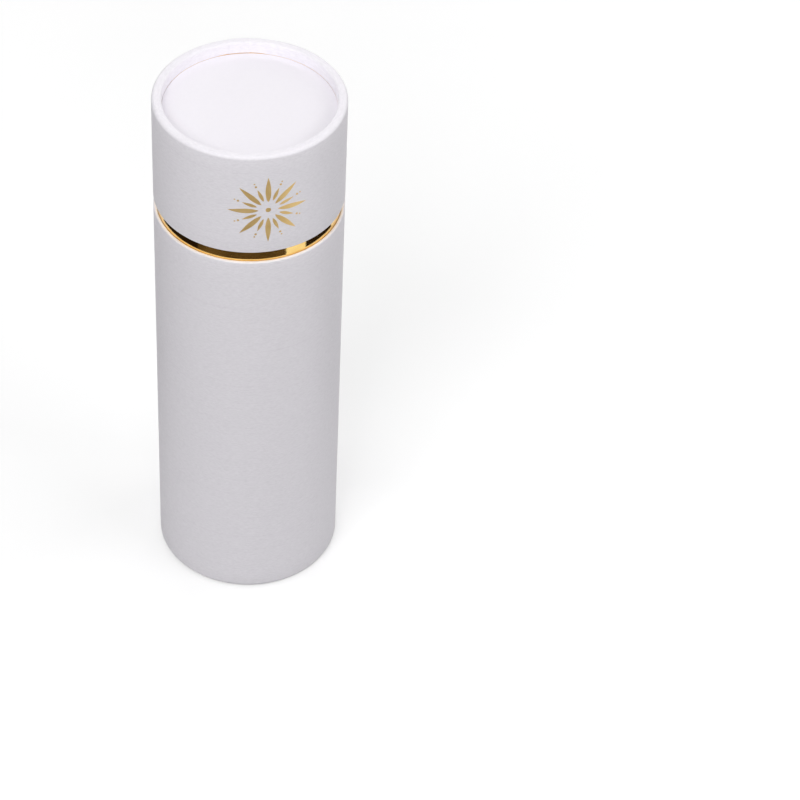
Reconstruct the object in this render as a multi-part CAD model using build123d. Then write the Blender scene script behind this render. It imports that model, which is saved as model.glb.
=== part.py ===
from build123d import *
import os

# A cylindrical gift tube box: a base and a lid of paper-covered board over a thick inner tube faced
# with gold foil. Millimetres, +Z up, origin at the centre of the underside. The lid is on: it rests
# on the inner tube, and a band of the foil shows between the lid and the base.

# Outside of the closed box
outside_radius = 32.5
base_height = 156.0
band_height = 4.2
lid_height = 40.3

# Paper and foil, and the board of the outer tube and of the inner tube
wrap_thickness = 0.2
foil_thickness = 0.1
shell_board = 1.0
neck_board = 1.9

# How far the inner tube reaches into the lid, and the gap between them
neck_reach = 20.0
lid_clearance = 0.1

# Rounding of the board under the paper: at the rims of the base's foot and of the lid's top, at the
# thin edges below and above the band, and round the recessed discs
foot_outer_round = 1.7
rim_outer_round = 1.1
rim_inner_round = 0.7
shoulder_round = 0.5
edge_outer_round = 0.2
edge_inner_round = 0.1
disc_round = 0.2

# Paper turned in at the rims, and behind the foil at the top of the base
rim_turn_in = 4.0
neck_turn_in = 12.0

# Recessed end discs: the strip of foil left between the turned-in paper and the disc, the board, and
# the cards that face the discs inside the box
foil_strip = 0.5
disc_board = 1.8
floor_card = 1.0
ceiling_card = 0.8

# How far a cutting solid runs past what it cuts
overrun = 1.0

# Radii of the layers, from the outside in
shell_radius = outside_radius - wrap_thickness
neck_radius = shell_radius - shell_board
mouth_radius = neck_radius + lid_clearance
lid_shell_bore = mouth_radius + wrap_thickness
neck_tube_radius = neck_radius - foil_thickness
neck_tube_bore = neck_tube_radius - neck_board
bore_radius = neck_tube_bore - foil_thickness

# Heights, from the bottom up
base_top = base_height
lid_bottom = base_top + band_height
neck_top = lid_bottom + neck_reach
box_top = lid_bottom + lid_height
recess_depth = rim_turn_in + foil_strip


def edge_ring(inner_radius, outer_radius, end, edge, inner_round, outer_round):
    """A ring between two heights, with both corners of its section rounded at the height edge."""
    corners = [(inner_radius, end), (outer_radius, end), (outer_radius, edge), (inner_radius, edge)]
    section = make_face(Polyline(corners, close=True))
    for corner, rounding in ((corners[2], outer_round), (corners[3], inner_round)):
        if rounding > 0:
            section = fillet(section.vertices().sort_by_distance(corner)[0], rounding)
    return revolve(Plane.XZ * section, Axis.Z)


def plain_ring(inner_radius, outer_radius, bottom, top):
    """A square-edged ring between two heights."""
    return edge_ring(inner_radius, outer_radius, bottom, top, 0, 0)


def upward(end, edge):
    """1 where the rounded edge is the upper one of a ring, and -1 where it is the lower one."""
    return 1 if edge > end else -1


def folded_paper(board_inner, board_outer, end, edge, inner_round, outer_round):
    """Paper turned over the edge of a ring of board, with its outside at the height edge."""
    way = upward(end, edge)
    outside = edge_ring(
        board_inner - wrap_thickness,
        board_outer + wrap_thickness,
        end,
        edge,
        inner_round + wrap_thickness,
        outer_round + wrap_thickness,
    )
    board = edge_ring(
        board_inner,
        board_outer,
        end - way * overrun,
        edge - way * wrap_thickness,
        inner_round,
        outer_round,
    )
    return outside - board


def rim_layer(inner_radius, outer_radius, end, rim, outer_round):
    """One layer of a wall, from the height end to the rounded board rim under the paper at rim."""
    board_edge = rim - upward(end, rim) * wrap_thickness
    wall = edge_ring(bore_radius, shell_radius, end, board_edge, rim_inner_round, outer_round)
    outside = plain_ring(outer_radius, outside_radius + overrun, end, rim)
    if outer_radius < shell_radius:
        wall = wall - outside
    if inner_radius > bore_radius:
        wall = wall - plain_ring(0, inner_radius, end, rim)
    return wall


def base_layer(inner_radius, outer_radius, top):
    """One layer of the base's wall, from its rounded bottom rim up."""
    return rim_layer(inner_radius, outer_radius, top, 0, foot_outer_round)


def lid_layer(inner_radius, outer_radius, bottom):
    """One layer of the lid's wall, from its rounded top rim down."""
    return rim_layer(inner_radius, outer_radius, bottom, box_top, rim_outer_round)


def base_shell_tube():
    """The thin outer tube, rebated at its top for the paper turned in behind the foil."""
    turn_in_end = base_top - neck_turn_in
    wall = base_layer(neck_radius, shell_radius, turn_in_end)
    rebated = edge_ring(
        neck_radius + wrap_thickness,
        shell_radius,
        turn_in_end,
        base_top - wrap_thickness,
        edge_inner_round,
        shoulder_round,
    )
    return wall + rebated


def base_wrap_paper():
    """The paper round the base, turned in at the foot and behind the foil."""
    foot = folded_paper(bore_radius, shell_radius, rim_turn_in, 0, rim_inner_round, foot_outer_round)
    wall = plain_ring(shell_radius, outside_radius, rim_turn_in, base_top - neck_turn_in)
    head = folded_paper(
        neck_radius + wrap_thickness,
        shell_radius,
        base_top - neck_turn_in,
        base_top,
        edge_inner_round,
        shoulder_round,
    )
    return foot + wall + head


def neck_tube():
    """The thick inner tube, from the foot of the base up into the lid."""
    return base_layer(neck_tube_bore, neck_tube_radius, neck_top - foil_thickness)


def neck_foil_paper():
    """The gold foil round the inner tube, turned over its top edge."""
    sleeve = base_layer(neck_tube_radius, neck_radius, neck_top - foil_thickness)
    edge = plain_ring(bore_radius, neck_radius, neck_top - foil_thickness, neck_top)
    return sleeve + edge


def neck_lining_foil():
    """The gold foil inside the inner tube."""
    return base_layer(bore_radius, neck_tube_bore, neck_top - foil_thickness)


def lid_shell_tube():
    """The thin outer tube of the lid, bored to slide over the inner tube."""
    wall = lid_layer(lid_shell_bore, shell_radius, neck_top)
    mouth = edge_ring(
        lid_shell_bore,
        shell_radius,
        neck_top,
        lid_bottom + wrap_thickness,
        edge_inner_round,
        edge_outer_round,
    )
    return wall + mouth


def lid_wrap_paper():
    """The paper round the lid, turned in at the mouth up to the collar, and in at the top."""
    mouth = folded_paper(
        lid_shell_bore, shell_radius, neck_top, lid_bottom, edge_inner_round, edge_outer_round
    )
    wall = plain_ring(shell_radius, outside_radius, neck_top, box_top - rim_turn_in)
    top = folded_paper(
        bore_radius, shell_radius, box_top - rim_turn_in, box_top, rim_inner_round, rim_outer_round
    )
    return mouth + wall + top


def lid_collar_tube():
    """The short thick tube inside the lid. Its lower end rests on the inner tube."""
    return lid_layer(neck_tube_bore, lid_shell_bore, neck_top)


def lid_lining_foil():
    """The gold foil inside the lid's collar."""
    return lid_layer(bore_radius, neck_tube_bore, neck_top)


def disc_inner_face(rim, end):
    """The height of the inside of a recessed disc, under its paper and its board."""
    way = upward(end, rim)
    return rim - way * (recess_depth + wrap_thickness + disc_board)


def end_disc_board(rim, end):
    """A board disc, recessed below a rim."""
    face = rim - upward(end, rim) * (recess_depth + wrap_thickness)
    return edge_ring(0, bore_radius - wrap_thickness, disc_inner_face(rim, end), face, 0, disc_round)


def end_disc_paper(rim, end):
    """The paper over a recessed disc and down round its edge."""
    face = rim - upward(end, rim) * recess_depth
    cover = edge_ring(
        0, bore_radius, disc_inner_face(rim, end), face, 0, disc_round + wrap_thickness
    )
    return cover - end_disc_board(rim, end)


def base_floor_card():
    """The card that the contents stand on."""
    bottom = disc_inner_face(0, base_top)
    return plain_ring(0, bore_radius, bottom, bottom + floor_card)


def lid_ceiling_card():
    """The card that closes the lid's collar from inside."""
    top = disc_inner_face(box_top, lid_bottom)
    return plain_ring(0, bore_radius, top - ceiling_card, top)


pieces = {
    "base_shell_tube": base_shell_tube(),
    "base_wrap_paper": base_wrap_paper(),
    "neck_tube": neck_tube(),
    "neck_foil_paper": neck_foil_paper(),
    "neck_lining_foil": neck_lining_foil(),
    "base_disc_board": end_disc_board(0, base_top),
    "base_disc_paper": end_disc_paper(0, base_top),
    "base_floor_card": base_floor_card(),
    "lid_shell_tube": lid_shell_tube(),
    "lid_wrap_paper": lid_wrap_paper(),
    "lid_collar_tube": lid_collar_tube(),
    "lid_lining_foil": lid_lining_foil(),
    "lid_disc_board": end_disc_board(box_top, lid_bottom),
    "lid_disc_paper": end_disc_paper(box_top, lid_bottom),
    "lid_ceiling_card": lid_ceiling_card(),
}

os.makedirs("parts", exist_ok=True)
for name, solid in pieces.items():
    export_step(solid, f"parts/{name}.step")
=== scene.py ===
import math

import bmesh
import bpy
from mathutils import Matrix, Vector, noise


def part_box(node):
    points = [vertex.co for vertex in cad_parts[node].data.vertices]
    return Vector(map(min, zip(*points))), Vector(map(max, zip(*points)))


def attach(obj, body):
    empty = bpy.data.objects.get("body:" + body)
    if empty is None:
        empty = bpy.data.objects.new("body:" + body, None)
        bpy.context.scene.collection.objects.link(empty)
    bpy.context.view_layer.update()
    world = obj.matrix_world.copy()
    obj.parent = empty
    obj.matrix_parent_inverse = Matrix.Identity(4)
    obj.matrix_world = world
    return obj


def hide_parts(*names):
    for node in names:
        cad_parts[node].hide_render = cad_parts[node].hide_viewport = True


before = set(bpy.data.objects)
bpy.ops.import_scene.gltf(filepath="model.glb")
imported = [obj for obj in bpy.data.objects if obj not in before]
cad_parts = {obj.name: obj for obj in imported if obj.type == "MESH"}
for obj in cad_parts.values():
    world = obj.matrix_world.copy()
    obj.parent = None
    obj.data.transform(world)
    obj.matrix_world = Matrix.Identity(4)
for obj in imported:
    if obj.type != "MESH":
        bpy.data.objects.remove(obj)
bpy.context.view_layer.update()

# A round gift tube box in white paper with a band of gold foil. Lengths are in metres in the part's
# frame, where the front of the box, with the foil ornament, faces -Y.
mm = 0.001

# Sizes read from the part
outside_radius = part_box("base_wrap_paper")[1].x
base_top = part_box("base_wrap_paper")[1].z
lid_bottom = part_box("lid_wrap_paper")[0].z
box_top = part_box("lid_wrap_paper")[1].z
neck_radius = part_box("neck_foil_paper")[1].x
neck_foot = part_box("neck_foil_paper")[0].z
neck_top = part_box("neck_foil_paper")[1].z
bore_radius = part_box("base_floor_card")[1].x
base_disc_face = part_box("base_disc_paper")[0].z
base_disc_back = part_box("base_disc_paper")[1].z
lid_disc_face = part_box("lid_disc_paper")[1].z
lid_disc_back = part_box("lid_disc_paper")[0].z

# Paper, foil and their fit, as in the part
wrap_thickness = 0.2 * mm
foil_thickness = 0.1 * mm
lid_clearance = 0.1 * mm
neck_turn_in = 12.0 * mm
rim_turn_in = 4.0 * mm
mouth_radius = neck_radius + lid_clearance
recess_radius = bore_radius - wrap_thickness
lid_turn_gap = box_top - lid_disc_face - rim_turn_in
base_turn_gap = base_disc_face - rim_turn_in

# Rounding of the outside of the paper and of the foil
foot_outer_round = 1.9 * mm
rim_outer_round = 1.3 * mm
rim_inner_round = 0.9 * mm
lid_edge_round = 0.3 * mm
shoulder_round = 0.7 * mm
edge_inner_round = 0.22 * mm
disc_edge_round = 0.3 * mm
neck_edge_round = 0.3 * mm

# How finely the rings are divided. Two angles that agree to angle_digits decimals count as one.
ring_steps = 600
angle_digits = 6
arc_steps = 6
wall_step = 6.0 * mm
least_rows = 2
rim_rows = 3
hidden_rows = 3
turn_in_rows = 6
foil_rows = 30
disc_rows = 12

# Overlap seam of the wrapping paper, down the back of the lid and of the base. least_paper is the
# thickness that the sheet keeps everywhere.
lid_seam = math.radians(79)
base_seam = math.radians(102)
seam_overlap = 8.0 * mm
seam_step = 0.09 * mm
seam_edge = 0.30 * mm
seam_groove = 0.07 * mm
least_paper = 0.02 * mm

# Unevenness of the paper and the foil: how far it goes, and how large its bumps are. rim_share is how
# much of it there is where the rim begins to bend inwards.
wall_wave = 0.014 * mm
wall_wave_size = 14.0 * mm
cut_waves = 1.6
cut_ragged = 0.09 * mm
cut_runs = 23
lid_cut_gap = -0.36 * mm
lid_cut_wave = 0.75 * mm
base_cut_gap = 0.70 * mm
base_cut_wave = 0.30 * mm
least_cut_gap = -0.01 * mm
lid_pucker = 0.035 * mm
base_pucker = 0.10 * mm
pucker_waves = 18.0
pucker_width = 0.20
rim_wave = 0.05 * mm
rim_waves = 3.0
rim_share = 0.4
foil_wave = 0.014 * mm
foil_wave_size = 4.0 * mm
foil_twist = 9.0
disc_wave = 0.06 * mm
disc_wave_size = 18.0 * mm
disc_border = 1.2 * mm

# Foil ornament: a rosette of long and short petals, with dots between them and one in the middle. Petals
# begin and end at shares of its radius. A dot between them has two shares: its place, of that radius,
# and its size, of dot_radius, which the middle one has a share of too.
rosette_radius = 13.5 * mm
rosette_height = lid_bottom + 18.1 * mm
base_rosette_radius = 11.5 * mm
petal_count = 8
petal_rows = 22
petal_columns = (-1, -0.5, 0, 0.5, 1)
petal_lean = 0.8
petal_fullness = 0.9
petal_start_share = 0.24
petal_half_width = 0.95 * mm
short_petal_start_share = 0.30
short_petal_end_share = 0.70
short_petal_half_width = 0.6 * mm
dot_radius = 0.42 * mm
dot_steps = 14
middle_dot_share = 2.2
outer_dot_shares = ((0.80, 1.0), (0.89, 0.7))
stamp_thickness = 0.015 * mm
stamp_merge = stamp_thickness / 10
stamp_lift = 0.012 * mm

# Corners of a mesh sharper than this many degrees aren't smoothed over
sheet_sharp = 38
stamp_sharp = 30

# Where the random unevenness of the lid and of the base begins, and how far on from there that of the
# rim, of the cut edge and of its straight runs does
lid_seed = 14.75
base_seed = 7.0
rim_seed_step = 3
cut_seed_step = 4
run_seed_step = 5


def clamp(value, low, high):
    """The value, kept between low and high."""
    return max(low, min(high, value))


def ring_noise(angle, waves, seed):
    """Noise from about -1 to 1 that closes up round the axis, with more waves for a larger number."""
    return noise.noise(Vector((waves * math.cos(angle), waves * math.sin(angle), seed)))


def straight_runs(angle, runs, seed):
    """Random values from about -1 to 1 at even places round the axis, joined by straight runs."""
    place = angle % (2 * math.pi) / (2 * math.pi) * runs
    start = math.floor(place)
    before, after = (2 * noise.cell(Vector((i % runs, 0, seed))) for i in (start, start + 1))
    return before + (after - before) * (place - start)


def from_zero(value):
    """A value from -1 to 1, moved to lie from 0 to 1."""
    return 0.5 + 0.5 * value


def wall_noise(angle, height, size, seed):
    """Noise from about -1 to 1 over the wall, with bumps of about that size."""
    around = Vector((math.cos(angle), math.sin(angle), 0)) * outside_radius
    return noise.noise((around + Vector((0, 0, height))) / size + Vector((seed, seed, seed)))


class Section:
    """The outer line of a sheet in section: (radius, height, normal, tag, share of its run)."""

    def __init__(self):
        self.points = []

    def line(self, start, end, rows, tag):
        """Points along a straight run, with the outside on its right as it goes."""
        run_r, run_z = end[0] - start[0], end[1] - start[1]
        length = math.hypot(run_r, run_z)
        normal = (run_z / length, -run_r / length)
        for i in range(rows + 1):
            share = i / rows
            self.points.append((start[0] + run_r * share, start[1] + run_z * share, *normal, tag, share))

    def arc(self, centre, radius, start, end, tag):
        """Points inside a rounded corner, between two directions in degrees."""
        for i in range(1, arc_steps):
            share = i / arc_steps
            way = math.radians(start + (end - start) * share)
            normal = (math.cos(way), math.sin(way))
            r = centre[0] + radius * normal[0]
            z = centre[1] + radius * normal[1]
            self.points.append((r, z, *normal, tag, share))


def rows_for(length):
    """How many rows a wall of that length has."""
    return max(least_rows, round(length / wall_step))


def seam_lift(angle, seam):
    """How far the doubled paper stands up beyond the single paper, over the overlap."""
    along = ((angle - seam) % (2 * math.pi)) * outside_radius
    rise = clamp(along / seam_edge, 0, 1)
    fall = clamp((seam_overlap - along) / seam_edge, 0, 1)
    groove = clamp(1 - abs(along + seam_edge - 2 * math.pi * outside_radius) / seam_edge, 0, 1)
    return seam_step * min(rise, fall) - seam_groove * groove


def ring_angles(seam=None):
    """Angles round a ring, with extra ones at the edges of the seam, and none twice."""
    angles = [2 * math.pi * i / ring_steps for i in range(ring_steps)]
    if seam is not None:
        for along in (-2 * seam_edge, -seam_edge, 0, seam_edge, seam_overlap - seam_edge, seam_overlap):
            angles.append((seam + along / outside_radius) % (2 * math.pi))
    return sorted({round(angle, angle_digits) for angle in angles})


def new_piece(name, vertices, faces, sharp_degrees=sheet_sharp):
    """A mesh object with outward normals, smooth faces and sharp corners."""
    mesh = bpy.data.meshes.new(name)
    mesh.from_pydata(vertices, [], faces)
    shape = bmesh.new()
    shape.from_mesh(mesh)
    bmesh.ops.recalc_face_normals(shape, faces=shape.faces)
    shape.to_mesh(mesh)
    shape.free()
    mesh.shade_smooth()
    mesh.set_sharp_from_angle(angle=math.radians(sharp_degrees))
    piece = bpy.data.objects.new(name, mesh)
    bpy.context.scene.collection.objects.link(piece)
    return piece


def turned_sheet(name, section, thickness, offset, angles, twist=0):
    """A closed ring of sheet: the section's outer line and its back, turned about the axis.

    offset(angle, point) gives how far a point moves along its normal, and how far up. twist turns the
    mesh's columns with height, as the plies of a wound tube turn.
    """
    outer = section.points
    count = 2 * len(outer)
    vertices = []
    for column in angles:
        front, back = [], []
        for point in outer:
            r, z, nr, nz, tag, share = point
            angle = column + twist * z
            out, up = offset(angle, point)
            front.append((r + nr * out, angle, z + nz * out + up))
            back.append((r - nr * thickness, angle, z - nz * thickness + up))
        ring = front + back[::-1]
        vertices += [(r * math.cos(a), r * math.sin(a), z) for r, a, z in ring]
    faces = []
    for i in range(len(angles)):
        here, there = i * count, (i + 1) % len(angles) * count
        for k in range(count):
            after = (k + 1) % count
            faces.append((here + k, there + k, there + after, here + after))
    return new_piece(name, vertices, faces)


def turned_plate(name, path, offset):
    """A closed round plate: a path of (radius, height) from the axis round to the axis, turned."""
    rim = path[1:-1]
    count = len(rim)
    vertices = [(0, 0, path[0][1] + offset(0, 0, 0)), (0, 0, path[-1][1] + offset(0, 0, 0))]
    for i in range(ring_steps):
        angle = 2 * math.pi * i / ring_steps
        for r, z in rim:
            x, y = r * math.cos(angle), r * math.sin(angle)
            vertices.append((x, y, z + offset(x, y, r)))
    faces = []
    for i in range(ring_steps):
        here = 2 + i * count
        there = 2 + (i + 1) % ring_steps * count
        faces.append((0, here, there))
        faces.append((1, there + count - 1, here + count - 1))
        for k in range(count - 1):
            faces.append((here + k, here + k + 1, there + k + 1, there + k))
    return new_piece(name, vertices, faces)


def lid_wrap_section():
    """The lid's paper: down inside the mouth, round its edge, up the wall and into the recess."""
    s = Section()
    low, high = lid_bottom, box_top
    wall_low, wall_high = low + lid_edge_round, high - rim_outer_round
    inside_low = low + edge_inner_round
    s.line((mouth_radius, neck_top), (mouth_radius, inside_low), rows_for(neck_top - low), "inside")
    s.arc((mouth_radius + edge_inner_round, inside_low), edge_inner_round, 180, 270, "edge")
    s.line((mouth_radius + edge_inner_round, low), (outside_radius - lid_edge_round, low), 1, "edge")
    s.arc((outside_radius - lid_edge_round, wall_low), lid_edge_round, 270, 360, "edge")
    s.line((outside_radius, wall_low), (outside_radius, wall_high), rows_for(high - low), "wall")
    s.arc((outside_radius - rim_outer_round, wall_high), rim_outer_round, 0, 90, "wall")
    rim_out, rim_in = outside_radius - rim_outer_round, recess_radius + rim_inner_round
    s.line((rim_out, high), (rim_in, high), rim_rows, "rim")
    s.arc((rim_in, high - rim_inner_round), rim_inner_round, 90, 180, "bend")
    turn_start, turn_end = (recess_radius, high - rim_inner_round), (recess_radius, high - rim_turn_in)
    s.line(turn_start, turn_end, turn_in_rows, "turn_in")
    return s


def base_wrap_section():
    """The base's paper: out of the recess, round the foot, up the wall and in behind the foil."""
    s = Section()
    foot_in, foot_out = recess_radius + rim_inner_round, outside_radius - foot_outer_round
    s.line((recess_radius, rim_turn_in), (recess_radius, rim_inner_round), turn_in_rows, "turn_in")
    s.arc((foot_in, rim_inner_round), rim_inner_round, 180, 270, "bend")
    s.line((foot_in, 0), (foot_out, 0), rim_rows, "rim")
    s.arc((foot_out, foot_outer_round), foot_outer_round, 270, 360, "wall")
    wall_low, wall_high = foot_outer_round, base_top - shoulder_round
    s.line((outside_radius, wall_low), (outside_radius, wall_high), rows_for(base_top), "wall")
    s.arc((outside_radius - shoulder_round, wall_high), shoulder_round, 0, 90, "edge")
    shoulder_out, shoulder_in = outside_radius - shoulder_round, neck_radius + edge_inner_round
    s.line((shoulder_out, base_top), (shoulder_in, base_top), 1, "edge")
    inside_high = base_top - edge_inner_round
    s.arc((shoulder_in, inside_high), edge_inner_round, 90, 180, "edge")
    s.line((neck_radius, inside_high), (neck_radius, base_top - neck_turn_in), hidden_rows, "inside")
    return s


def cut_gap(angle, gap, wave, seed):
    """How far the cut edge of the turned-in paper stays away from the recessed disc."""
    ragged = cut_ragged * straight_runs(angle, cut_runs, seed + run_seed_step)
    waving = wave * ring_noise(angle, cut_waves, seed + cut_seed_step)
    return max(least_cut_gap, gap + waving + ragged)


def paper_offset(seam, pucker, inward, gap, gap_wave, seed):
    """The unevenness of a wrapping paper. inward is 1 where its turned-in end points up, else -1."""
    plain_gap = lid_turn_gap if inward < 0 else base_turn_gap

    def offset(angle, point):
        r, z, nr, nz, tag, share = point
        if inward > 0:
            share = 1 - share
        wave = wall_noise(angle, z, wall_wave_size, seed)
        out = seam_lift(angle, seam) - seam_step - wall_wave * from_zero(wave)
        up = 0
        if tag in ("rim", "bend", "turn_in"):
            bent = rim_share + (1 - rim_share) * share
            weight = {"rim": rim_share * share, "bend": bent, "turn_in": 1}[tag]
            crease = max(0, 1 - abs(ring_noise(angle, pucker_waves, seed)) / pucker_width)
            low_wave = from_zero(ring_noise(angle, rim_waves, seed + rim_seed_step))
            out -= weight * (pucker * crease + rim_wave * low_wave)
        if tag == "turn_in":
            up = inward * share * (plain_gap - cut_gap(angle, gap, gap_wave, seed))
        return max(out, least_paper - wrap_thickness), up

    return offset


def foil_offset(seed):
    """The slight unevenness of foil over a wound board tube. It only goes in."""

    def offset(angle, point):
        wave = wall_noise(angle, point[1], foil_wave_size, seed)
        return -foil_wave * (1 + wave), 0

    return offset


def neck_foil_section():
    """The foil on the outside of the neck, turned over its top edge."""
    s = Section()
    bend = neck_top - neck_edge_round
    s.line((neck_radius, neck_foot), (neck_radius, base_top), rows_for(base_top), "wall")
    s.line((neck_radius, base_top + foil_thickness), (neck_radius, bend), foil_rows, "wall")
    edge_out, edge_in = neck_radius - neck_edge_round, bore_radius + neck_edge_round
    s.arc((edge_out, bend), neck_edge_round, 0, 90, "edge")
    s.line((edge_out, neck_top), (edge_in, neck_top), rim_rows, "edge")
    s.arc((edge_in, bend), neck_edge_round, 90, 180, "edge")
    s.line((bore_radius, bend), (bore_radius, bend - foil_thickness), 1, "edge")
    return s


def lining_section(high, low):
    """The foil inside a board tube."""
    s = Section()
    s.line((bore_radius, high), (bore_radius, low), rows_for(high - low), "wall")
    return s


def disc_path(face, back):
    """The section of a disc's paper: over its face and round its edge, and back along its board."""
    way = 1 if face > back else -1
    flat = bore_radius - disc_edge_round
    path = [(flat * i / disc_rows, face) for i in range(disc_rows + 1)]
    for i in range(1, arc_steps + 1):
        turn = math.radians(90 * i / arc_steps)
        inset = disc_edge_round * (1 - math.cos(turn))
        path.append((flat + disc_edge_round * math.sin(turn), face - way * inset))
    path.append((bore_radius, back))
    board_radius, board_face = bore_radius - wrap_thickness, face - way * wrap_thickness
    path += [(board_radius, back), (board_radius, board_face - way * disc_edge_round), (flat, board_face)]
    path.append((0, board_face))
    return path


def disc_offset(way, seed):
    """The slight hollows in the paper of a disc, away from its face, gone at its edge."""

    def offset(x, y, r):
        wave = noise.noise(Vector((x, y, 0)) / disc_wave_size + Vector((seed, seed, seed)))
        edge = clamp((bore_radius - disc_edge_round - r) / disc_border, 0, 1)
        return -way * disc_wave * from_zero(wave) * edge

    return offset


def petal(spread, start, end, half_width):
    """A leaf-shaped patch pointing away from the middle: rows of points across it, tip to tip."""
    along = Vector((math.cos(spread), math.sin(spread)))
    across = Vector((-along.y, along.x))
    rows = []
    for i in range(petal_rows + 1):
        share = i / petal_rows
        middle = along * (start + (end - start) * share)
        half = 0
        if 0 < i < petal_rows:
            half = half_width * math.sin(math.pi * share ** petal_lean) ** petal_fullness
        sides = petal_columns if half else (0,)
        rows.append([middle + across * half * side for side in sides])
    return rows


def rosette_patches(radius):
    """The rosette's petals, and the centres and radii of its dots, in a flat plane."""
    scale = radius / rosette_radius
    petals, dots = [], [(Vector((0, 0)), middle_dot_share * dot_radius * scale)]
    for i in range(petal_count):
        spread = 2 * math.pi * i / petal_count + math.pi / 2
        between = spread + math.pi / petal_count
        petals.append(petal(spread, petal_start_share * radius, radius, petal_half_width * scale))
        short_ends = short_petal_start_share * radius, short_petal_end_share * radius
        petals.append(petal(between, *short_ends, short_petal_half_width * scale))
        for reach, size in outer_dot_shares:
            middle = Vector((math.cos(between), math.sin(between))) * reach * radius
            dots.append((middle, dot_radius * size * scale))
    return petals, dots


def sort_faces(shape):
    """Puts the faces in the order of their corners, so that the mesh is the same in each run."""
    shape.verts.index_update()
    in_order = sorted(shape.faces, key=lambda face: [vertex.index for vertex in face.verts])
    for index, face in enumerate(in_order):
        face.index = index
    shape.faces.sort()


def foil_stamp(name, radius, place):
    """A rosette of thin foil. place turns a point of the flat plane into one on the paper."""
    petals, dots = rosette_patches(radius)
    vertices, faces = [], []
    for rows in petals:
        for row, after in zip(rows, rows[1:]):
            first = len(vertices)
            vertices += [place(p) for p in row + after]
            second = first + len(row)
            if len(row) == 1:
                faces += [(first, second + k, second + k + 1) for k in range(len(after) - 1)]
            elif len(after) == 1:
                faces += [(first + k, second, first + k + 1) for k in range(len(row) - 1)]
            else:
                faces += [
                    (first + k, second + k, second + k + 1, first + k + 1) for k in range(len(row) - 1)
                ]
    for middle, size in dots:
        first = len(vertices)
        vertices.append(place(middle))
        for i in range(dot_steps):
            turn = 2 * math.pi * i / dot_steps
            vertices.append(place(middle + Vector((math.cos(turn), math.sin(turn))) * size))
        faces += [(first, first + 1 + i, first + 1 + (i + 1) % dot_steps) for i in range(dot_steps)]
    piece = new_piece(name, vertices, faces)
    shape = bmesh.new()
    shape.from_mesh(piece.data)
    bmesh.ops.remove_doubles(shape, verts=shape.verts, dist=stamp_merge)
    bmesh.ops.recalc_face_normals(shape, faces=shape.faces)
    bmesh.ops.solidify(shape, geom=shape.faces[:], thickness=stamp_thickness)
    sort_faces(shape)
    bmesh.ops.recalc_face_normals(shape, faces=shape.faces)
    shape.to_mesh(piece.data)
    shape.free()
    piece.data.set_sharp_from_angle(angle=math.radians(stamp_sharp))
    return piece


def on_lid(point):
    """A point of the ornament's plane, on the front of the lid's wall."""
    angle = -math.pi / 2 + point.x / outside_radius
    height = rosette_height + point.y
    wave = wall_noise(angle, height, wall_wave_size, lid_seed)
    radius = outside_radius - seam_step - wall_wave * from_zero(wave) + stamp_lift
    return (radius * math.cos(angle), radius * math.sin(angle), height)


def on_base_disc(point):
    """A point of the ornament's plane, on the underside of the base's disc."""
    x, y = -point.x, point.y
    hollow = disc_offset(-1, base_seed)(x, y, math.hypot(x, y))
    return (x, y, base_disc_face + hollow - stamp_lift)


lid_wrap = turned_sheet(
    "lid_wrap",
    lid_wrap_section(),
    wrap_thickness,
    paper_offset(lid_seam, lid_pucker, -1, lid_cut_gap, lid_cut_wave, lid_seed),
    ring_angles(lid_seam),
)
base_wrap = turned_sheet(
    "base_wrap",
    base_wrap_section(),
    wrap_thickness,
    paper_offset(base_seam, base_pucker, 1, base_cut_gap, base_cut_wave, base_seed),
    ring_angles(base_seam),
)
neck_foil = turned_sheet(
    "neck_foil", neck_foil_section(), foil_thickness, foil_offset(base_seed), ring_angles(), foil_twist
)
neck_lining = turned_sheet(
    "neck_lining",
    lining_section(neck_top - neck_edge_round, rim_inner_round),
    foil_thickness,
    foil_offset(lid_seed),
    ring_angles(),
    foil_twist,
)
lid_lining = turned_sheet(
    "lid_lining",
    lining_section(box_top - rim_inner_round, neck_top),
    foil_thickness,
    foil_offset(base_seed),
    ring_angles(),
    foil_twist,
)
lid_disc = turned_plate("lid_disc_cover", disc_path(lid_disc_face, lid_disc_back), disc_offset(1, lid_seed))
base_disc = turned_plate(
    "base_disc_cover", disc_path(base_disc_face, base_disc_back), disc_offset(-1, base_seed)
)
lid_rosette = foil_stamp("lid_rosette", rosette_radius, on_lid)
base_rosette = foil_stamp("base_rosette", base_rosette_radius, on_base_disc)

# Most of a noise texture lies between these two values, and a colour runs from dark to light over them
noise_low = 0.3
noise_high = 0.7

# Paper: its grain, which is finer up the wall than round it by the stretch, a few faint lines round the
# wall, and how rough and uneven its fibres make it
grain_length = 1.3 * mm
wall_grain_depth = 0.040 * mm
disc_grain_depth = 0.006 * mm
card_grain_depth = 0.010 * mm
wall_grain_stretch = 3.0
plain_grain = 1.0
line_length = 60.0 * mm
line_stretch = 90.0
line_start = 0.66
line_full = 0.74
line_shade = (0.975, 0.97, 0.975)
fibre_size = 0.35 * mm
fibre_depth = 0.012 * mm
swell_size = 1.6 * mm
swell_depth = 0.006 * mm
paper_smooth = 0.48
paper_rough = 0.66

# Foil: its creases round the tube, its hazy patches, and how smooth and how rough the patches are
crease_length = 7.0 * mm
crease_stretch = 8.0
haze_size = 4.0 * mm
neck_gloss = (0.05, 0.11)
lining_gloss = (0.24, 0.36)
stamp_gloss = (0.42, 0.54)
neck_crinkle = 0.020 * mm
fine_crinkle = 0.010 * mm

# Board: its flecks
fleck_size = 0.8 * mm
fleck_depth = 0.05 * mm
board_rough = 0.85

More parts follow.
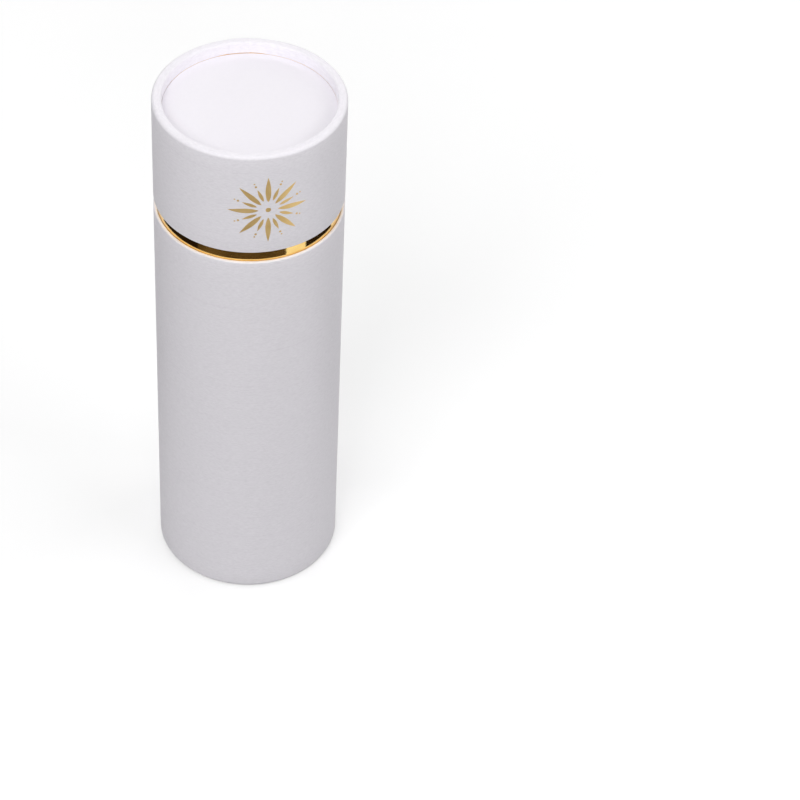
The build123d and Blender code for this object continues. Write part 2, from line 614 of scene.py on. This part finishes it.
# Colours, each as its dark and its light end
wall_colours = (0.848, 0.822, 0.868), (0.922, 0.896, 0.942)
disc_colours = (0.879, 0.853, 0.899), (0.891, 0.865, 0.911)
card_colours = (0.84, 0.83, 0.80), (0.90, 0.89, 0.87)
foil_colours = (0.88, 0.59, 0.19), (0.93, 0.66, 0.25)
stamp_colours = (0.84, 0.60, 0.25), (0.90, 0.67, 0.32)
board_colours = (0.40, 0.36, 0.31), (0.58, 0.53, 0.47)


def new_material(name):
    """An empty node material: its nodes, its links and its main shader."""
    material = bpy.data.materials.new(name)
    material.use_nodes = True
    nodes, links = material.node_tree.nodes, material.node_tree.links
    return material, nodes, links, nodes["Principled BSDF"]


def noise_node(nodes, links, coordinates, size, detail=3):
    """A noise texture with features of about that size, and finer ones for more detail."""
    texture = nodes.new("ShaderNodeTexNoise")
    texture.inputs["Scale"].default_value = 1 / size
    texture.inputs["Detail"].default_value = detail
    links.new(coordinates, texture.inputs["Vector"])
    return texture.outputs["Fac"]


def ramp_node(nodes, links, value, low, high, dark, light):
    """A colour that goes from dark to light as the value goes from low to high."""
    ramp = nodes.new("ShaderNodeValToRGB")
    ramp.color_ramp.elements[0].position = low
    ramp.color_ramp.elements[0].color = (*dark, 1)
    ramp.color_ramp.elements[1].position = high
    ramp.color_ramp.elements[1].color = (*light, 1)
    links.new(value, ramp.inputs["Fac"])
    return ramp.outputs["Color"]


def range_node(nodes, links, value, low, high):
    """The value, from 0 to 1, spread from low to high."""
    spread = nodes.new("ShaderNodeMapRange")
    spread.inputs["To Min"].default_value = low
    spread.inputs["To Max"].default_value = high
    links.new(value, spread.inputs["Value"])
    return spread.outputs["Result"]


def bump_node(nodes, links, height, depth, normal=None):
    """A bump of that depth, on top of another one."""
    bump = nodes.new("ShaderNodeBump")
    bump.inputs["Distance"].default_value = depth
    links.new(height, bump.inputs["Height"])
    if normal is not None:
        links.new(normal, bump.inputs["Normal"])
    return bump.outputs["Normal"]


def stretched(nodes, links, place, stretch):
    """Coordinates that make a texture's features that many times longer round the tube than up it."""
    mapping = nodes.new("ShaderNodeMapping")
    mapping.inputs["Scale"].default_value = (1, 1, stretch)
    links.new(place, mapping.inputs["Vector"])
    return mapping.outputs["Vector"]


def math_node(nodes, links, operation, *values):
    """The result of a sum on numbers or on the outputs of other nodes."""
    node = nodes.new("ShaderNodeMath")
    node.operation = operation
    for value, socket in zip(values, node.inputs):
        if isinstance(value, (int, float)):
            socket.default_value = value
        else:
            links.new(value, socket)
    return node.outputs[0]


def distance_node(nodes, links, place):
    """How far a point is from the object's origin."""
    distance = nodes.new("ShaderNodeVectorMath")
    distance.operation = "LENGTH"
    links.new(place, distance.inputs[0])
    return distance.outputs["Value"]


def vector_node(nodes, links, operation, place, other):
    """The result of a sum on coordinates and on a vector, or on a number for SCALE."""
    node = nodes.new("ShaderNodeVectorMath")
    node.operation = operation
    links.new(place, node.inputs[0])
    if operation == "SCALE":
        links.new(other, node.inputs["Scale"])
    elif isinstance(other, tuple):
        node.inputs[1].default_value = other
    else:
        links.new(other, node.inputs[1])
    return node.outputs["Vector"]


def wound(nodes, links, place, stretch):
    """Coordinates that make a texture's features longer round the tube than up it or across its rims."""
    flat = vector_node(nodes, links, "MULTIPLY", place, (1, 1, 0))
    share = math_node(
        nodes, links, "DIVIDE", (stretch - 1) * outside_radius, distance_node(nodes, links, flat)
    )
    squeezed = vector_node(nodes, links, "SCALE", flat, math_node(nodes, links, "SUBTRACT", stretch, share))
    upright = vector_node(nodes, links, "MULTIPLY", place, (0, 0, stretch))
    return vector_node(nodes, links, "ADD", squeezed, upright)


def paper_material(name, colours, grain_depth, grain_stretch):
    """Matt white paper: a fine grain round the tube, a few faint lines and a slightly uneven gloss."""
    material, nodes, links, shader = new_material(name)
    place = nodes.new("ShaderNodeTexCoord").outputs["Object"]
    wound_place = wound(nodes, links, place, grain_stretch)
    grain = noise_node(nodes, links, wound_place, grain_length, detail=4)
    long_place = stretched(nodes, links, place, line_stretch)
    line = noise_node(nodes, links, long_place, line_length, detail=1)
    fibre = noise_node(nodes, links, place, fibre_size, detail=4)
    swell = noise_node(nodes, links, place, swell_size, detail=2)
    plain = ramp_node(nodes, links, grain, noise_low, noise_high, *colours)
    lined = ramp_node(nodes, links, line, line_start, line_full, (1, 1, 1), line_shade)
    shade = nodes.new("ShaderNodeMix")
    shade.data_type = "RGBA"
    shade.blend_type = "MULTIPLY"
    shade.inputs["Factor"].default_value = 1
    links.new(plain, shade.inputs["A"])
    links.new(lined, shade.inputs["B"])
    links.new(shade.outputs["Result"], shader.inputs["Base Color"])
    links.new(range_node(nodes, links, fibre, paper_smooth, paper_rough), shader.inputs["Roughness"])
    normal = bump_node(nodes, links, fibre, fibre_depth)
    normal = bump_node(nodes, links, swell, swell_depth, normal)
    normal = bump_node(nodes, links, grain, grain_depth, normal)
    links.new(normal, shader.inputs["Normal"])
    return material


def foil_material(name, colours, gloss, crinkle):
    """Gold foil on paper: a metal mirror with long fine creases round the tube, and hazy patches."""
    material, nodes, links, shader = new_material(name)
    shader.inputs["Metallic"].default_value = 1.0
    place = nodes.new("ShaderNodeTexCoord").outputs["Object"]
    haze = noise_node(nodes, links, place, haze_size, detail=4)
    crease = noise_node(nodes, links, stretched(nodes, links, place, crease_stretch), crease_length)
    colour = ramp_node(nodes, links, haze, noise_low, noise_high, *colours)
    links.new(colour, shader.inputs["Base Color"])
    links.new(range_node(nodes, links, haze, *gloss), shader.inputs["Roughness"])
    links.new(bump_node(nodes, links, crease, crinkle), shader.inputs["Normal"])
    return material


def board_material(name, colours):
    """Grey board: flecked, fibrous and dull."""
    material, nodes, links, shader = new_material(name)
    place = nodes.new("ShaderNodeTexCoord").outputs["Object"]
    fleck = noise_node(nodes, links, place, fleck_size, detail=6)
    colour = ramp_node(nodes, links, fleck, noise_low, noise_high, *colours)
    links.new(colour, shader.inputs["Base Color"])
    shader.inputs["Roughness"].default_value = board_rough
    links.new(bump_node(nodes, links, fleck, fleck_depth), shader.inputs["Normal"])
    return material


white_paper = paper_material("white_paper", wall_colours, wall_grain_depth, wall_grain_stretch)
disc_paper = paper_material("disc_paper", disc_colours, disc_grain_depth, plain_grain)
liner_card = paper_material("liner_card", card_colours, card_grain_depth, plain_grain)
gold_foil = foil_material("gold_foil", foil_colours, neck_gloss, neck_crinkle)
lining_foil = foil_material("lining_foil", foil_colours, lining_gloss, fine_crinkle)
stamp_foil = foil_material("stamp_foil", stamp_colours, stamp_gloss, fine_crinkle)
greyboard = board_material("greyboard", board_colours)


def dress(piece, body, material, slot, *nodes):
    """Puts a piece on its body, gives it its material, and hides the parts of the model that it stands for.
    """
    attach(piece, body)
    piece.data.materials.clear()
    piece.data.materials.append(material)
    if nodes:
        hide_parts(*nodes)


dress(lid_wrap, "lid", white_paper, "white_paper", "lid_wrap_paper")
dress(base_wrap, "base", white_paper, "white_paper", "base_wrap_paper")
dress(lid_disc, "lid", disc_paper, "white_paper", "lid_disc_paper")
dress(base_disc, "base", disc_paper, "white_paper", "base_disc_paper")
dress(neck_foil, "base", gold_foil, "gold_foil_paper", "neck_foil_paper")
dress(neck_lining, "base", lining_foil, "gold_foil_paper", "neck_lining_foil")
dress(lid_lining, "lid", lining_foil, "gold_foil_paper", "lid_lining_foil")
dress(lid_rosette, "lid", stamp_foil, "gold_foil_paper")
dress(base_rosette, "base", stamp_foil, "gold_foil_paper")

board_nodes = (
    "base_shell_tube",
    "neck_tube",
    "base_disc_board",
    "lid_shell_tube",
    "lid_collar_tube",
    "lid_disc_board",
)
card_nodes = ("base_floor_card", "lid_ceiling_card")
for material, names in ((greyboard, board_nodes), (liner_card, card_nodes)):
    for name in names:
        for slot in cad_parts[name].material_slots:
            slot.material = material

# Camera: where it stands, how far it turns from +Y towards +X, how far it looks down, and its tilt
camera_place = Vector((-156.8, -806.6, 838.4)) * mm
camera_turn = math.radians(14.784)
camera_dip = math.radians(43.265)
camera_tilt = math.radians(2.817)
camera_lens = 141.66
camera_sensor = 36
camera_near = 0.01

# Studio: the even light, and each lamp's place, width in metres and power in watts
even_light = 0.20
lamps = {
    "key_lamp": ((-0.9, -1.2, 1.7), 1.0, 17.2),
    "fill_lamp": ((1.1, -0.9, 1.5), 1.0, 7.9),
    "top_lamp": ((0, 0.3, 2.0), 1.2, 4.9),
    "front_lamp": ((-0.4, -2.0, 0.8), 1.0, 10.0),
    "right_lamp": ((1.7, 0.2, 0.9), 1.0, 7.1),
    "back_lamp": ((0.3, 1.8, 0.8), 1.6, 9.5),
    "left_lamp": ((-1.7, 0.2, 1.4), 1.0, 5.4),
}

# Floor: the colour that lights the box, and the colour and the glow that are seen. From fade_start to
# fade_end away from the box, it turns white.
floor_half = 1.8
floor_bounce = (0.26, 0.26, 0.26)
floor_colour = (0.7, 0.7, 0.7)
floor_glow = 0.36
fade_start = 0.5
fade_end = 1.2

# Painted reflection: dark sheets on the floor in front of the box, seen only in the foil, in place of
# the dark cloth that it reflects. They lie in sectors, each between two angles in degrees from the
# camera's side. The folds painted into them are reflection_fold apart, and reflection_turn is how much
# of the noise one radian takes up.
card_near = 120 * mm
card_far = 460 * mm
card_height = 1 * mm
card_steps = 24
left_card_angles = (-125, -62)
front_card_angles = (-62, 44)
right_card_angles = (70, 116)
camera_side = math.atan2(camera_place.y, camera_place.x)
reflection_fold = 5 * mm
reflection_turn = 9 * mm
reflection_low = 0.38
reflection_high = 0.62
reflection_dark = (0.012, 0.007, 0.003)
reflection_brown = (0.170, 0.125, 0.075)
reflection_black = (0.030, 0.020, 0.012)


def make_camera():
    """The photograph's camera."""
    data = bpy.data.cameras.new("camera")
    data.lens = camera_lens
    data.sensor_width = camera_sensor
    data.clip_start = camera_near
    camera = bpy.data.objects.new("camera", data)
    bpy.context.scene.collection.objects.link(camera)
    turn = Matrix.Rotation(-camera_turn, 4, "Z")
    dip = Matrix.Rotation(math.pi / 2 - camera_dip, 4, "X")
    tilt = Matrix.Rotation(camera_tilt, 4, "Z")
    camera.matrix_world = Matrix.Translation(camera_place) @ turn @ dip @ tilt
    bpy.context.scene.camera = camera


def soft_box(name, place, size, power):
    """A square lamp that faces the middle of the box."""
    data = bpy.data.lights.new(name, "AREA")
    data.shape = "SQUARE"
    data.size = size
    data.energy = power
    lamp = bpy.data.objects.new(name, data)
    bpy.context.scene.collection.objects.link(lamp)
    lamp.location = place
    aim = Vector((0, 0, box_top / 2)) - Vector(place)
    lamp.rotation_euler = aim.to_track_quat("-Z", "Y").to_euler()


def seen_rays(nodes, links):
    """1 for rays from the camera, a mirror or glass, and 0 for those that light the object."""
    rays = nodes.new("ShaderNodeLightPath").outputs
    mirrored = math_node(nodes, links, "MAXIMUM", rays["Is Glossy Ray"], rays["Is Transmission Ray"])
    return math_node(nodes, links, "MAXIMUM", rays["Is Camera Ray"], mirrored)


def make_world(strength):
    """An even soft light, which looks white."""
    world = bpy.data.worlds.new("studio")
    bpy.context.scene.world = world
    world.use_nodes = True
    nodes, links = world.node_tree.nodes, world.node_tree.links
    light = nodes["Background"]
    light.inputs["Color"].default_value = (1, 1, 1, 1)
    light.inputs["Strength"].default_value = strength
    seen = nodes.new("ShaderNodeBackground")
    mix = nodes.new("ShaderNodeMixShader")
    seen.inputs["Color"].default_value = (1, 1, 1, 1)
    seen.inputs["Strength"].default_value = 1
    links.new(seen_rays(nodes, links), mix.inputs[0])
    links.new(light.outputs[0], mix.inputs[1])
    links.new(seen.outputs[0], mix.inputs[2])
    links.new(mix.outputs[0], nodes["World Output"].inputs["Surface"])


def floor_material(bounce, seen_colour, glow):
    """A pale floor. It looks white, keeps shadows, and throws less light back than it shows.

    Away from the box it turns into the same white as the world, so that its edge doesn't show.
    """
    material, nodes, links, shader = new_material("floor")
    nodes.remove(shader)
    dull = nodes.new("ShaderNodeBsdfDiffuse")
    dull.inputs["Color"].default_value = (*bounce, 1)
    pale = nodes.new("ShaderNodeBsdfDiffuse")
    pale.inputs["Color"].default_value = (*seen_colour, 1)
    light = nodes.new("ShaderNodeEmission")
    light.inputs["Strength"].default_value = glow
    both = nodes.new("ShaderNodeAddShader")
    white = nodes.new("ShaderNodeEmission")
    distance = distance_node(nodes, links, nodes.new("ShaderNodeTexCoord").outputs["Object"])
    far = nodes.new("ShaderNodeMapRange")
    far.inputs["From Min"].default_value = fade_start
    far.inputs["From Max"].default_value = fade_end
    fade = nodes.new("ShaderNodeMixShader")
    mix = nodes.new("ShaderNodeMixShader")
    links.new(pale.outputs[0], both.inputs[0])
    links.new(light.outputs[0], both.inputs[1])
    links.new(distance, far.inputs["Value"])
    links.new(far.outputs["Result"], fade.inputs[0])
    links.new(both.outputs[0], fade.inputs[1])
    links.new(white.outputs[0], fade.inputs[2])
    links.new(seen_rays(nodes, links), mix.inputs[0])
    links.new(dull.outputs[0], mix.inputs[1])
    links.new(fade.outputs[0], mix.inputs[2])
    links.new(mix.outputs[0], nodes["Material Output"].inputs["Surface"])
    return material


def plain_mesh(name, vertices, faces, material):
    """A stage object from its points and faces."""
    mesh = bpy.data.meshes.new(name)
    mesh.from_pydata(vertices, [], faces)
    mesh.materials.append(material)
    thing = bpy.data.objects.new(name, mesh)
    bpy.context.scene.collection.objects.link(thing)
    return thing


def painted_reflection_material(name, light):
    """Painted reflection: a dark sheet's material, with folds painted round the box, seen in the foil only.
    """
    material, nodes, links, shader = new_material(name)
    place = nodes.new("ShaderNodeTexCoord").outputs["Object"]
    parts = nodes.new("ShaderNodeSeparateXYZ")
    links.new(place, parts.inputs[0])
    turn = math_node(nodes, links, "ARCTAN2", parts.outputs["Y"], parts.outputs["X"])
    round_the_box = nodes.new("ShaderNodeCombineXYZ")
    links.new(math_node(nodes, links, "MULTIPLY", turn, reflection_turn), round_the_box.inputs["X"])
    links.new(distance_node(nodes, links, place), round_the_box.inputs["Y"])
    reflection_streak = noise_node(nodes, links, round_the_box.outputs["Vector"], reflection_fold)
    colour = ramp_node(nodes, links, reflection_streak, reflection_low, reflection_high, reflection_dark, light)
    links.new(colour, shader.inputs["Base Color"])
    shader.inputs["Roughness"].default_value = 1.0
    shader.inputs["Specular IOR Level"].default_value = 0
    return material


def reflection_card(name, angles, material):
    """A sector of painted reflection: a dark sheet on the floor, seen only in the foil."""
    start, end = angles
    vertices = []
    for i in range(card_steps + 1):
        angle = camera_side + math.radians(start + (end - start) * i / card_steps)
        for radius in (card_near, card_far):
            vertices.append((radius * math.cos(angle), radius * math.sin(angle), card_height))
    faces = [(2 * i, 2 * i + 1, 2 * i + 3, 2 * i + 2) for i in range(card_steps)]
    card = plain_mesh(name, vertices, faces, material)
    card.visible_camera = False
    card.visible_diffuse = False
    card.visible_shadow = False
    card.visible_transmission = False


make_camera()
make_world(even_light)
for name, (place, size, power) in lamps.items():
    soft_box(name, place, size, power)
floor_corners = [
    (-floor_half, -floor_half, 0),
    (floor_half, -floor_half, 0),
    (floor_half, floor_half, 0),
    (-floor_half, floor_half, 0),
]
pale_floor = floor_material(floor_bounce, floor_colour, floor_glow)
plain_mesh("floor", floor_corners, [(0, 1, 2, 3)], pale_floor)
# Painted reflection: dark sheets in front of the box that only the foil shows
brown_reflection = painted_reflection_material("brown_reflection", reflection_brown)
black_reflection = painted_reflection_material("black_reflection", reflection_black)
reflection_card("left_card", left_card_angles, black_reflection)
reflection_card("front_card", front_card_angles, brown_reflection)
reflection_card("right_card", right_card_angles, black_reflection)

bpy.context.scene.view_settings.view_transform = "Standard"
